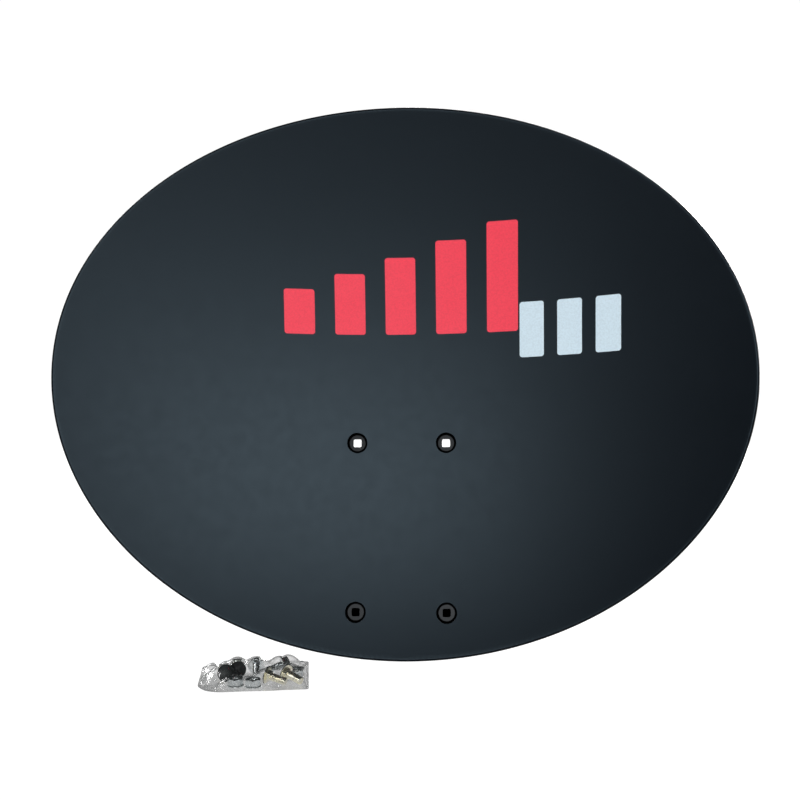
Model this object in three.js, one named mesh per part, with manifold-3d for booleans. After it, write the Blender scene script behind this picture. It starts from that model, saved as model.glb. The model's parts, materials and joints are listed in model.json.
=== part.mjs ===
// Offset satellite dish reflector with its bagged mounting hardware.
// Millimetres. +X to the right seen from the front, +Z up, the concave front faces -Y.
// The origin is the centre of the four-bolt pattern, on the plane of the seats' back faces.
import * as THREE from 'three';
import { mergeVertices } from 'three/addons/utils/BufferGeometryUtils.js';
import Module from 'manifold-3d';

const wasm = await Module();
wasm.setup();

// ---- driving dimensions: reflector ----
const DISH_WIDTH = 571.5;            // 22.5 in over the rolled rim
const DISH_HEIGHT = 459.5;           // along the chord from the top rim to the bottom rim
const FOCAL_LENGTH = 340;
const APERTURE_OFFSET = 185.2;       // from the paraboloid's vertex up to the aperture's centre
const SHEET = 1.0;
const ROLL_RADIUS = 3.0;             // outer radius of the rim, rolled backwards
const ROLL_TURN = 150;               // degrees
const RIM_INSET = 1.36 * ROLL_RADIUS;
const RIM_SECTORS = 72;
const SURFACE_RINGS = 9;
const ROLL_STEPS = 6;

// ---- driving dimensions: bolt seats ----
const BOLT_SPACING_X = 76.2;
const BOLT_SPACING_V = 142;          // along the seats' common plane
const PATTERN_U = 74.3;              // from the paraboloid's vertex up to the pattern's centre
const SEAT_DEPTH = 2.2;
const SEAT_FLOOR_RADIUS = 7.0;
const SEAT_MOUTH_RADIUS = 8.6;
const SQUARE_HOLE = 6.8;
const SEAT_SIDES = 32;

// ---- driving dimensions: printed mark ----
const PRINT_GAP = 0.3;
const PRINT_THICKNESS = 0.2;
const RED_BARS = 5;
const RED_BAR_WIDTH = 26;
const RED_BAR_PITCH = 43.3;
const RED_BASE_U = 234.5;
const RED_LEFT_X = -99.5;
const RED_LOW = 36;                  // height of the first bar
const RED_RISE = 12.5;               // each bar is this much taller than the one before
const PALE_BARS = 3;
const PALE_BAR_WIDTH = 20;
const PALE_BAR_PITCH = 31;
const PALE_BASE_U = 213;
const PALE_LEFT_X = 101;
const PALE_HEIGHT = 44;
const PRINT_CELL = 16;               // longest straight step up a bar

// ---- driving dimensions: hardware kit ----
const BAG_WIDTH = 84;
const BAG_DEPTH = 59;
const BAG_SHIFT = -4.5;              // the bag's middle, from the kit's origin towards the dish
const BAG_TURN = 9;                  // degrees about +Z
const BAG_X = -110.5;
const BAG_Y = -74;
const FILM = 0.3;
const CLEAR = 0.3;                   // gap between touching pieces
const REST_HEIGHT = FILM + CLEAR + 0.05;   // the fasteners' lowest points over the kit's floor
const TENT_HEIGHT = 14.5;            // inside height of the top film over the bolts
const SEAM = 1;                      // flat sealed edge round the bag
const RAMP = 5.5;                    // width of the slope from the seam to full height
const SHANK_RADIUS = 3.0;
const CARRIAGE_HEAD_RADIUS = 6.5;
const CARRIAGE_HEAD_HEIGHT = 2.6;
const CARRIAGE_HEAD_EDGE = 0.7;      // upright part of the head's edge
const CARRIAGE_LENGTH = 15.9;        // 5/8 in under the head
const NECK_SIDE = 6.3;
const NECK_LENGTH = 3.0;
const OVERLAP = 0.5;                 // how far joined shapes reach into each other
const FLANGE_RADIUS = 6.5;
const FLANGE_HEIGHT = 1.2;
const SCREW_HEX_FLATS = 9.5;
const SCREW_HEAD_HEIGHT = 5.4;
const SCREW_LENGTH = 12.7;           // 1/2 in under the flange
const NUT_FLATS = 11.1;
const NUT_HEIGHT = 4.8;
const NUT_BORE_RADIUS = 3.35;
const WASHER_RADIUS = 6.3;
const WASHER_HEIGHT = 1.1;
const THREADED_NUT_AT = 5.0;         // from the head's underside to the threaded nut's washer
const SHANK_CHAMFER = 0.5;
const SHANK_SIDES = 20;
const HEAD_SIDES = 28;
const WASHER_SIDES = 24;

const rad = THREE.MathUtils.degToRad;
const group = new THREE.Group();

function finish(color, roughness, metalness) {
  return new THREE.MeshStandardMaterial({ color, roughness, metalness });
}

const charcoal = finish(0x39434b, 0.55, 0.1);
const redInk = finish(0xe94f5e, 0.5, 0);
const paleInk = finish(0xc8dae2, 0.5, 0);
const clearFilm = finish(0xbfc4c0, 0.25, 0);
const blackZinc = finish(0x1a1c20, 0.5, 0.3);
const zinc = finish(0xc4c9c8, 0.3, 1);

function addPiece(parent, name, geometry, material) {
  const mesh = new THREE.Mesh(geometry, material);
  mesh.name = name;
  parent.add(mesh);
  return mesh;
}

// ---- solids: join and cut ----
function solid(geometry) {
  const bare = geometry.clone();
  bare.deleteAttribute('normal');
  bare.deleteAttribute('uv');
  const merged = mergeVertices(bare, 1e-5);
  return new wasm.Manifold(new wasm.Mesh({
    numProp: 3,
    vertProperties: new Float32Array(merged.attributes.position.array),
    triVerts: new Uint32Array(merged.index.array),
  }));
}

function geometryOf(manifold) {
  const mesh = manifold.getMesh();
  const geometry = new THREE.BufferGeometry();
  const positions = new Float32Array(mesh.vertProperties);
  geometry.setAttribute('position', new THREE.BufferAttribute(positions, 3));
  geometry.setIndex(new THREE.BufferAttribute(new Uint32Array(mesh.triVerts), 1));
  return geometry;
}

function geometryFrom(points, triangles) {
  const geometry = new THREE.BufferGeometry();
  const flat = points.flatMap((p) => [p.x, p.y, p.z]);
  geometry.setAttribute('position', new THREE.BufferAttribute(new Float32Array(flat), 3));
  geometry.setIndex(triangles.flat());
  return geometry;
}

// ---- the paraboloid ----
// (x, u, w): u climbs the dish at right angles to the boresight, and w runs along it to the front.
const chordSlope = APERTURE_OFFSET / (2 * FOCAL_LENGTH);
const chordTilt = Math.atan(chordSlope);
const apertureHeight = DISH_HEIGHT * Math.cos(chordTilt);
const patternSlope = PATTERN_U / (2 * FOCAL_LENGTH);
const patternTilt = Math.atan(patternSlope);
const halfV = BOLT_SPACING_V / 2;
const halfX = BOLT_SPACING_X / 2;

function depth(x, u) {
  return (x * x + u * u) / (4 * FOCAL_LENGTH);
}

function surfaceNormal(x, u) {
  return new THREE.Vector3(-x, -u, 2 * FOCAL_LENGTH).normalize();
}

const seatNormal = new THREE.Vector3(0, -Math.sin(patternTilt), Math.cos(patternTilt));
const halfU = halfV * Math.cos(patternTilt);
const patternDepth = (depth(halfX, PATTERN_U + halfU) + depth(halfX, PATTERN_U - halfU)) / 2;
const patternCentre = new THREE.Vector3(0, PATTERN_U, patternDepth)
  .addScaledVector(seatNormal, -(SEAT_DEPTH + SHEET));

// boresight coordinates to the part's own: the chord between the top and bottom rims stands vertical
function place(point) {
  const p = point.clone().sub(patternCentre);
  const c = Math.cos(chordTilt);
  const s = Math.sin(chordTilt);
  return new THREE.Vector3(p.x, s * p.y - c * p.z, c * p.y + s * p.z);
}

// a point on the front surface, raised along its normal
function onFront(x, u, raise = 0) {
  return place(new THREE.Vector3(x, u, depth(x, u)).addScaledVector(surfaceNormal(x, u), raise));
}

// the row of points from the front's centre, round the rolled rim and back to the rear's centre
function sectionAt(angle) {
  const edgeX = (DISH_WIDTH / 2 - RIM_INSET) * Math.cos(angle);
  const edgeU = (apertureHeight / 2 - RIM_INSET) * Math.sin(angle);
  const front = [];
  const back = [];
  for (let ring = 1; ring <= SURFACE_RINGS; ring += 1) {
    const s = ring / SURFACE_RINGS;
    front.push(onFront(s * edgeX, APERTURE_OFFSET + s * edgeU));
    back.unshift(onFront(s * edgeX, APERTURE_OFFSET + s * edgeU, -SHEET));
  }
  const u = APERTURE_OFFSET + edgeU;
  const normal = surfaceNormal(edgeX, u);
  const alongX = -(DISH_WIDTH / 2 - RIM_INSET) * Math.sin(angle);
  const alongU = (apertureHeight / 2 - RIM_INSET) * Math.cos(angle);
  const alongW = (edgeX * alongX + u * alongU) / (2 * FOCAL_LENGTH);
  const outward = new THREE.Vector3(alongX, alongU, alongW).normalize().cross(normal);
  const centre = new THREE.Vector3(edgeX, u, depth(edgeX, u)).addScaledVector(normal, -ROLL_RADIUS);
  const outer = [];
  const inner = [];
  for (let step = 1; step <= ROLL_STEPS; step += 1) {
    const turn = rad(ROLL_TURN) * step / ROLL_STEPS;
    const spoke = normal.clone().multiplyScalar(Math.cos(turn)).addScaledVector(outward, Math.sin(turn));
    outer.push(place(centre.clone().addScaledVector(spoke, ROLL_RADIUS)));
    inner.unshift(place(centre.clone().addScaledVector(spoke, ROLL_RADIUS - SHEET)));
  }
  return [...front, ...outer, ...inner, ...back];
}

function dishShell() {
  const points = [onFront(0, APERTURE_OFFSET), onFront(0, APERTURE_OFFSET, -SHEET)];
  let rowLength = 0;
  for (let sector = 0; sector < RIM_SECTORS; sector += 1) {
    const row = sectionAt(2 * Math.PI * sector / RIM_SECTORS);
    rowLength = row.length;
    points.push(...row);
  }
  const at = (sector, i) => 2 + (sector % RIM_SECTORS) * rowLength + i;
  const triangles = [];
  for (let sector = 0; sector < RIM_SECTORS; sector += 1) {
    triangles.push([0, at(sector, 0), at(sector + 1, 0)]);
    for (let i = 0; i < rowLength - 1; i += 1) {
      triangles.push([at(sector, i), at(sector, i + 1), at(sector + 1, i + 1)]);
      triangles.push([at(sector, i), at(sector + 1, i + 1), at(sector + 1, i)]);
    }
    triangles.push([1, at(sector + 1, rowLength - 1), at(sector, rowLength - 1)]);
  }
  return solid(geometryFrom(points, triangles));
}

// ---- bolt seats ----
// seat coordinates: +Z out of the seat's front, +Y up along the seats' plane, origin at the pattern's centre
const seatFrame = new THREE.Matrix4().makeRotationX(Math.PI / 2 - (chordTilt - patternTilt));

function inSeatFrame(geometry, x, v, z) {
  geometry.translate(x, v, z);
  return geometry.applyMatrix4(seatFrame);
}

// height of the dish's middle surface over the seats' back plane, found along the seat's normal
function middleHeight(x, v) {
  let height = SEAT_DEPTH;
  for (let pass = 0; pass < 6; pass += 1) {
    const p = patternCentre.clone().addScaledVector(seatNormal, height);
    p.x += x;
    p.y += v * Math.cos(patternTilt);
    p.z += v * Math.sin(patternTilt);
    height += (depth(p.x, p.y) - p.z) * Math.cos(patternTilt);
  }
  return height - SHEET / 2;
}

// the metal pushed back behind the sheet: its top lies in the middle of the sheet's thickness
function seatBoss(x, v) {
  const mouth = SEAT_MOUTH_RADIUS + SHEET;
  const floor = SEAT_FLOOR_RADIUS + SHEET;
  const boss = new THREE.CylinderGeometry(mouth, floor, 2, SEAT_SIDES);
  boss.rotateX(Math.PI / 2);
  const position = boss.attributes.position;
  for (let i = 0; i < position.count; i += 1) {
    const top = position.getZ(i) > 0;
    position.setZ(i, top ? middleHeight(x + position.getX(i), v + position.getY(i)) : 0);
  }
  return solid(inSeatFrame(boss, x, v, 0));
}

function seatPocket(x, v) {
  const reach = 3 * SEAT_DEPTH;
  const flare = (SEAT_MOUTH_RADIUS - SEAT_FLOOR_RADIUS) * reach / SEAT_DEPTH;
  const mouth = SEAT_FLOOR_RADIUS + flare;
  const pocket = new THREE.CylinderGeometry(mouth, SEAT_FLOOR_RADIUS, reach, SEAT_SIDES);
  pocket.rotateX(Math.PI / 2);
  return solid(inSeatFrame(pocket, x, v, SHEET + reach / 2));
}

function squareHole(x, v) {
  const punch = new THREE.BoxGeometry(SQUARE_HOLE, SQUARE_HOLE, 4 * SHEET);
  return solid(inSeatFrame(punch, x, v, SHEET / 2));
}

function reflector() {
  let dish = dishShell();
  for (const x of [-halfX, halfX]) {
    for (const v of [-halfV, halfV]) {
      dish = dish.add(seatBoss(x, v)).subtract(seatPocket(x, v)).subtract(squareHole(x, v));
    }
  }
  return geometryOf(dish);
}

// ---- printed mark: plain bars that follow the front surface ----
function printedBar(left, base, width, height) {
  const cellsX = 2;
  const cellsU = Math.ceil(height / PRINT_CELL);
  const points = [];
  for (const raise of [PRINT_GAP, PRINT_GAP + PRINT_THICKNESS]) {
    for (let j = 0; j <= cellsU; j += 1) {
      for (let i = 0; i <= cellsX; i += 1) {
        points.push(onFront(left + width * i / cellsX, base + height * j / cellsU, raise));
      }
    }
  }
  return gridSlab(points, cellsX, cellsU);
}

// closes two facing grids of points, the lower one first, into a slab
function gridSlab(points, cellsI, cellsJ) {
  const count = (cellsI + 1) * (cellsJ + 1);
  const at = (i, j, layer) => layer * count + j * (cellsI + 1) + i;
  const triangles = [];
  const quad = (a, b, c, d) => triangles.push([a, b, c], [a, c, d]);
  for (let j = 0; j < cellsJ; j += 1) {
    for (let i = 0; i < cellsI; i += 1) {
      quad(at(i, j, 1), at(i + 1, j, 1), at(i + 1, j + 1, 1), at(i, j + 1, 1));
      quad(at(i, j, 0), at(i, j + 1, 0), at(i + 1, j + 1, 0), at(i + 1, j, 0));
    }
  }
  for (let i = 0; i < cellsI; i += 1) {
    quad(at(i, 0, 0), at(i + 1, 0, 0), at(i + 1, 0, 1), at(i, 0, 1));
    quad(at(i + 1, cellsJ, 0), at(i, cellsJ, 0), at(i, cellsJ, 1), at(i + 1, cellsJ, 1));
  }
  for (let j = 0; j < cellsJ; j += 1) {
    quad(at(0, j + 1, 0), at(0, j, 0), at(0, j, 1), at(0, j + 1, 1));
    quad(at(cellsI, j, 0), at(cellsI, j + 1, 0), at(cellsI, j + 1, 1), at(cellsI, j, 1));
  }
  return geometryFrom(points, triangles);
}

// ---- fasteners: each lies along +X from the underside of its head, which is at the origin ----
function alongX(geometry) {
  return geometry.rotateZ(-Math.PI / 2);
}

function shank(from, to) {
  return alongX(new THREE.LatheGeometry([
    new THREE.Vector2(0, from),
    new THREE.Vector2(SHANK_RADIUS, from),
    new THREE.Vector2(SHANK_RADIUS, to - SHANK_CHAMFER),
    new THREE.Vector2(SHANK_RADIUS - SHANK_CHAMFER, to),
    new THREE.Vector2(0, to),
  ], SHANK_SIDES));
}

function carriageBolt() {
  const dome = [new THREE.Vector2(0, -CARRIAGE_HEAD_HEIGHT)];
  for (const part of [0.45, 0.8, 1]) {
    const fall = (CARRIAGE_HEAD_HEIGHT - CARRIAGE_HEAD_EDGE) * part * part;
    dome.push(new THREE.Vector2(CARRIAGE_HEAD_RADIUS * part, fall - CARRIAGE_HEAD_HEIGHT));
  }
  dome.push(new THREE.Vector2(CARRIAGE_HEAD_RADIUS, 0), new THREE.Vector2(0, 0));
  const head = solid(alongX(new THREE.LatheGeometry(dome, HEAD_SIDES)));
  const neck = new THREE.BoxGeometry(NECK_LENGTH + OVERLAP, NECK_SIDE, NECK_SIDE);
  neck.translate((NECK_LENGTH - OVERLAP) / 2, 0, 0);
  const thread = shank(NECK_LENGTH - OVERLAP, CARRIAGE_LENGTH);
  return geometryOf(head.add(solid(neck)).add(solid(thread)));
}

function hexPrism(flats, height) {
  const corner = flats / Math.sqrt(3);
  return alongX(new THREE.CylinderGeometry(corner, corner, height, 6));
}

function flangeScrew() {
  const plate = new THREE.CylinderGeometry(FLANGE_RADIUS, SCREW_HEX_FLATS / 2, FLANGE_HEIGHT, HEAD_SIDES);
  const flange = solid(alongX(plate).translate(-FLANGE_HEIGHT / 2, 0, 0));
  const hex = hexPrism(SCREW_HEX_FLATS, SCREW_HEAD_HEIGHT - OVERLAP);
  hex.translate(-(SCREW_HEAD_HEIGHT + OVERLAP) / 2, 0, 0);
  return geometryOf(flange.add(solid(hex)).add(solid(shank(-OVERLAP, SCREW_LENGTH))));
}

function bored(outside, length) {
  const bore = new THREE.CylinderGeometry(NUT_BORE_RADIUS, NUT_BORE_RADIUS, 2 * length, SHANK_SIDES);
  return geometryOf(solid(outside).subtract(solid(alongX(bore))));
}

function hexNut() {
  return bored(hexPrism(NUT_FLATS, NUT_HEIGHT), NUT_HEIGHT);
}

function nutWasher() {
  const ring = new THREE.CylinderGeometry(WASHER_RADIUS, WASHER_RADIUS, WASHER_HEIGHT, WASHER_SIDES);
  return bored(alongX(ring), WASHER_HEIGHT);
}

// ---- assembly ----
const dishMesh = addPiece(group, 'reflector', reflector(), charcoal);

for (let bar = 0; bar < RED_BARS; bar += 1) {
  const left = RED_LEFT_X + bar * RED_BAR_PITCH;
  const slab = printedBar(left, RED_BASE_U, RED_BAR_WIDTH, RED_LOW + bar * RED_RISE);
  addPiece(group, `print_red_bar_${bar + 1}`, slab, redInk);
}
for (let bar = 0; bar < PALE_BARS; bar += 1) {
  const left = PALE_LEFT_X + bar * PALE_BAR_PITCH;
  const slab = printedBar(left, PALE_BASE_U, PALE_BAR_WIDTH, PALE_HEIGHT);
  addPiece(group, `print_pale_bar_${bar + 1}`, slab, paleInk);
}

// the kit lies on the surface that the dish's lowest rim touches
dishMesh.geometry.computeBoundingBox();
const kit = new THREE.Group();
kit.position.set(BAG_X, BAG_Y, dishMesh.geometry.boundingBox.min.z);
kit.rotation.z = rad(BAG_TURN);
group.add(kit);

const bottomFilm = new THREE.BoxGeometry(BAG_WIDTH, BAG_DEPTH, FILM);
bottomFilm.translate(0, BAG_SHIFT, FILM / 2);
addPiece(kit, 'bag_bottom_film', bottomFilm, clearFilm);

// the top film rises from its sealed edge over the bolts
function topFilm() {
  const seal = FILM + CLEAR;
  const lines = (half, inner) => [-half, SEAM - half, SEAM + RAMP - half, ...inner,
    half - SEAM - RAMP, half - SEAM, half];
  const linesX = lines(BAG_WIDTH / 2, [-18, 0, 18]);
  const linesY = lines(BAG_DEPTH / 2, [-11, 0, 11]);
  const slope = (half, along) => Math.min(1, Math.max(0, (half - SEAM - Math.abs(along)) / RAMP));
  const points = [];
  for (const raise of [0, FILM]) {
    for (const y of linesY) {
      for (const x of linesX) {
        const share = Math.min(slope(BAG_WIDTH / 2, x), slope(BAG_DEPTH / 2, y));
        const height = seal + (TENT_HEIGHT - seal) * share + raise;
        points.push(new THREE.Vector3(x, y + BAG_SHIFT, height));
      }
    }
  }
  return gridSlab(points, linesX.length - 1, linesY.length - 1);
}
addPiece(kit, 'bag_top_film', topFilm(), clearFilm);

// a bolt rests on the bottom film with its head's rim and, at its far end, its shank or the nut on it
function layDown(x, y, heading, headRadius, length, endRadius = SHANK_RADIUS) {
  const rest = new THREE.Group();
  const tilt = Math.asin((headRadius - endRadius) / length);
  rest.position.set(x, y, REST_HEIGHT + headRadius * Math.cos(tilt));
  rest.rotation.order = 'ZYX';
  rest.rotation.z = rad(heading);
  rest.rotation.y = tilt;
  kit.add(rest);
  return rest;
}

const carriagePlaces = [
  { x: -21.7, y: -6.8, heading: 107.8 },
  { x: -13.0, y: 1.0, heading: 95.5, endRadius: NUT_FLATS / Math.sqrt(3) },
  { x: 10.8, y: -16.3, heading: -23.8 },
  { x: 25.2, y: -11.8, heading: -43.9 },
];
const carriageRests = carriagePlaces.map((at, i) => {
  const rest = layDown(at.x, at.y, at.heading, CARRIAGE_HEAD_RADIUS, CARRIAGE_LENGTH, at.endRadius);
  addPiece(rest, `carriage_bolt_${i + 1}`, carriageBolt(), blackZinc);
  return rest;
});

const screwPlaces = [
  { x: 0.9, y: 9.0, heading: -86.6 },
  { x: 21.2, y: 12.4, heading: 197.7 },
];
screwPlaces.forEach((at, i) => {
  const rest = layDown(at.x, at.y, at.heading, FLANGE_RADIUS, SCREW_LENGTH);
  addPiece(rest, `flange_screw_${i + 1}`, flangeScrew(), zinc);
});

// nut 1 is run onto carriage bolt 2, and the others lie loose on the bottom film
const washerMiddle = WASHER_HEIGHT / 2;
const nutMiddle = WASHER_HEIGHT + CLEAR + NUT_HEIGHT / 2;
const stack = WASHER_HEIGHT + CLEAR + NUT_HEIGHT;

function addNut(parent, number, start, flipped) {
  const washer = addPiece(parent, `nut_${number}_washer`, nutWasher(), zinc);
  const nut = addPiece(parent, `nut_${number}`, hexNut(), zinc);
  washer.position.x = start + (flipped ? stack - washerMiddle : washerMiddle);
  nut.position.x = start + (flipped ? stack - nutMiddle : nutMiddle);
}
addNut(carriageRests[1], 1, THREADED_NUT_AT, false);

const loosePlaces = [
  { x: -13.2, y: -20.5, flipped: false },
  { x: 0.2, y: -23.8, flipped: false },
  { x: 32.0, y: 2.2, flipped: true },
];
loosePlaces.forEach((at, i) => {
  const flat = new THREE.Group();
  flat.position.set(at.x, at.y, REST_HEIGHT);
  flat.rotation.y = -Math.PI / 2;
  kit.add(flat);
  addNut(flat, i + 2, 0, at.flipped);
});

export default group;
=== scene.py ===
"""Looks of a bare offset satellite dish reflector and the bag of bolts that comes with it.

Lengths are written in millimetres and turned into metres where a mesh is made. The dimensions and the
fasteners' places repeat those of the CAD source.
"""
import json
import math

import bmesh
import bpy
import numpy as np
from mathutils import Matrix, Vector, noise
from mathutils.geometry import delaunay_2d_cdt

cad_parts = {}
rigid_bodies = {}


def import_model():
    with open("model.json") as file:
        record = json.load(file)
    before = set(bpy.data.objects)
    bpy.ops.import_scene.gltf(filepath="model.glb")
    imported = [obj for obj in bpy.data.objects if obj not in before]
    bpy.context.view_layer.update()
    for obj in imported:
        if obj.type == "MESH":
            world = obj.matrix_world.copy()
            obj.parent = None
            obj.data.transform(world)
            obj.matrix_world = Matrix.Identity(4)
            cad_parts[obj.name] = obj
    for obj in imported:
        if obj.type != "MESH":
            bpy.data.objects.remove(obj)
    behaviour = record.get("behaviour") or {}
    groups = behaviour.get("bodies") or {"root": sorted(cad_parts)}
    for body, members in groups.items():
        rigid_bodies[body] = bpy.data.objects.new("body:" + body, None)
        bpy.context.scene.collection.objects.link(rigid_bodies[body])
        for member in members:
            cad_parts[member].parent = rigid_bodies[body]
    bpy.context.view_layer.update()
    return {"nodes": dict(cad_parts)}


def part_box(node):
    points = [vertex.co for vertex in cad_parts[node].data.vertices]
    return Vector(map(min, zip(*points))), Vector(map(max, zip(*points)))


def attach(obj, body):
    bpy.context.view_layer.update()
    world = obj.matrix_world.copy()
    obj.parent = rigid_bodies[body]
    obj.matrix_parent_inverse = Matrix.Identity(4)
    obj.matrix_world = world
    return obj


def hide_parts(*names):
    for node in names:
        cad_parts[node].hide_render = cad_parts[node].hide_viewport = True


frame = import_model()

MM = 0.001

# ---- the reflector's dimensions, in millimetres ----
DISH_WIDTH = 571.5
DISH_HEIGHT = 459.5
FOCAL_LENGTH = 340.0
APERTURE_OFFSET = 185.2
SHEET = 1.0
BEND_RADIUS = 1.6
BEND_TURN = 85.0
FLANGE_LENGTH = 1.5
CURL_RADIUS = 2.0
CURL_TURN = 175.0
# how far the bowl's own edge lies inside the edge of the finished rim
RIM_INSET = 2.956
BOLT_SPACING_X = 76.2
BOLT_SPACING_V = 142.0
PATTERN_U = 74.3
SEAT_DEPTH = 2.2
SQUARE_HOLE = 6.8

BAG_WIDTH = 84.0
BAG_DEPTH = 59.0
BAG_SHIFT = -4.5
BAG_TURN = math.radians(9.0)
REST_HEIGHT = 0.65
SHANK_RADIUS = 3.0
ROOT_RADIUS = 2.45
THREAD_PITCH = 1.27
CARRIAGE_HEAD_RADIUS = 6.5
CARRIAGE_HEAD_HEIGHT = 2.6
CARRIAGE_LENGTH = 15.9
NECK_SIDE = 6.3
NECK_LENGTH = 3.0
FLANGE_RADIUS = 6.5
SCREW_HEX_FLATS = 9.5
SCREW_HEAD_HEIGHT = 5.4
SCREW_LENGTH = 12.7
NUT_FLATS = 11.1
NUT_HEIGHT = 4.8
NUT_BORE_RADIUS = 3.05
WASHER_RADIUS = 6.3
WASHER_HEIGHT = 1.1
PIECE_GAP = 0.3
THREADED_NUT_AT = 5.0


def put_in_scene(name, data):
    obj = bpy.data.objects.new(name, data)
    bpy.context.scene.collection.objects.link(obj)
    return obj


# ---- camera ----
def make_camera():
    """Almost square on, level with the dish's middle, a little to the right of its axis."""
    lo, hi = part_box("reflector")
    target = Vector((0.0, -0.025, (lo.z + hi.z) / 2 + 0.0015))
    distance = 0.8065
    azimuth = math.radians(3.9)
    elevation = math.radians(-0.66)
    back = Vector((math.sin(azimuth) * math.cos(elevation),
                   -math.cos(azimuth) * math.cos(elevation),
                   math.sin(elevation)))
    data = bpy.data.cameras.new("camera")
    data.sensor_width = 36.0
    data.lens = 44.04
    data.shift_x = 0.0019
    data.shift_y = -0.0225
    camera = put_in_scene("camera", data)
    camera.location = target + back * distance
    turn = (-back).to_track_quat("-Z", "Y").to_matrix()
    roll = Matrix.Rotation(math.radians(-0.37), 3, "Z")
    camera.rotation_euler = (turn @ roll).to_euler()
    bpy.context.scene.camera = camera


# ---- mesh helpers ----
def new_object(name, vertices, faces, scale=1.0):
    mesh = bpy.data.meshes.new(name)
    mesh.from_pydata([tuple(float(c) * scale for c in v) for v in vertices], [], faces)
    mesh.validate()
    return put_in_scene(name, mesh)


def around(count, offset=0.0):
    """Even angles round a full turn, moved on by a share of a step."""
    return [2 * math.pi * (i + offset) / count for i in range(count)]


def rings_of(sides, count, first=0):
    """The vertex numbers of rings that follow one another."""
    return [list(range(first + k * sides, first + (k + 1) * sides)) for k in range(count)]


def band(first, second):
    """Quads between two closed rings of vertex numbers."""
    count = len(first)
    following = [(i + 1) % count for i in range(count)]
    return [(first[i], first[j], second[j], second[i]) for i, j in enumerate(following)]


def smooth(obj, sharp_angle):
    mesh = obj.data
    mesh.polygons.foreach_set("use_smooth", [True] * len(mesh.polygons))
    mesh.set_sharp_from_angle(angle=math.radians(sharp_angle))


def closed_object(name, vertices, faces, scale=1.0):
    """A closed mesh, with its faces turned outwards."""
    obj = new_object(name, vertices, faces, scale)
    bm = bmesh.new()
    bm.from_mesh(obj.data)
    bmesh.ops.recalc_face_normals(bm, faces=bm.faces)
    bm.to_mesh(obj.data)
    bm.free()
    return obj


def apply_modifiers(obj):
    depsgraph = bpy.context.evaluated_depsgraph_get()
    mesh = bpy.data.meshes.new_from_object(obj.evaluated_get(depsgraph))
    obj.modifiers.clear()
    obj.data = mesh


def combine(base, other, operation):
    """Joins or cuts two closed meshes for good."""
    boolean = base.modifiers.new("combine", "BOOLEAN")
    boolean.operation = operation
    boolean.solver = "MANIFOLD"
    boolean.object = other
    apply_modifiers(base)
    bpy.data.objects.remove(other)
    return base


def finish_piece(obj, name, body, material, replaced):
    obj.name = name
    obj.data.name = name
    if material is not None:
        indices = [polygon.material_index for polygon in obj.data.polygons]
        obj.data.materials.clear()
        for one in material if isinstance(material, list) else [material]:
            obj.data.materials.append(one)
        obj.data.polygons.foreach_set("material_index", indices)
    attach(obj, body)
    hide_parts(*replaced)


# ---- materials ----
def set_inputs(node, **values):
    """Values for a node's sockets. An underscore stands for a space."""
    for key, value in values.items():
        node.inputs[key.replace("_", " ")].default_value = value


class Nodes:
    """A small builder for procedural materials around one Principled shader."""

    def __init__(self, name):
        self.material = bpy.data.materials.new(name)
        self.material.use_nodes = True
        self.tree = self.material.node_tree
        self.shader = self.tree.nodes["Principled BSDF"]
        self.place = self.add("ShaderNodeTexCoord").outputs["Object"]

    def add(self, kind, **values):
        node = self.tree.nodes.new(kind)
        for key, value in values.items():
            setattr(node, key, value)
        return node

    def link(self, source, target):
        self.tree.links.new(source, target)

    def drive(self, socket, source):
        self.link(source, self.shader.inputs[socket])

    def noise(self, scale, detail=2.0, rough=0.5, stretch=None):
        node = self.add("ShaderNodeTexNoise")
        set_inputs(node, Scale=scale, Detail=detail, Roughness=rough)
        source = self.place
        if stretch is not None:
            mapping = self.add("ShaderNodeMapping")
            set_inputs(mapping, Scale=stretch)
            self.link(source, mapping.inputs["Vector"])
            source = mapping.outputs["Vector"]
        self.link(source, node.inputs["Vector"])
        return node.outputs["Fac"]

    def ramp(self, source, low, high, start=0.0, end=1.0):
        node = self.add("ShaderNodeMapRange")
        set_inputs(node, From_Min=start, From_Max=end, To_Min=low, To_Max=high)
        self.link(source, node.inputs["Value"])
        return node.outputs["Result"]

    def mix(self, source, first, second):
        node = self.add("ShaderNodeMix", data_type="RGBA")
        self.link(source, node.inputs["Factor"])
        for socket, value in ((node.inputs[6], first), (node.inputs[7], second)):
            if isinstance(value, tuple):
                socket.default_value = (*value, 1.0)
            else:
                self.link(value, socket)
        return node.outputs[2]

    def bump(self, source, distance, strength=1.0, under=None):
        node = self.add("ShaderNodeBump")
        set_inputs(node, Distance=distance, Strength=strength)
        self.link(source, node.inputs["Height"])
        if under is not None:
            self.link(under, node.inputs["Normal"])
        return node.outputs["Normal"]


PAINT = (0.0010, 0.0014, 0.0028)
PAINT_CLOUD = (0.0014, 0.0019, 0.0035)
PAINT_SHEEN = (0.62, 0.84, 1.0)


def powder_coat(nodes, grain=1.0):
    """The fine orange-peel grain that every coated surface shares."""
    fine = nodes.bump(nodes.noise(1900.0, 2.0, 0.5), 0.00002 * grain, 0.4)
    return nodes.bump(nodes.noise(750.0, 1.0), 0.00005 * grain, 0.4, fine)


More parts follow.
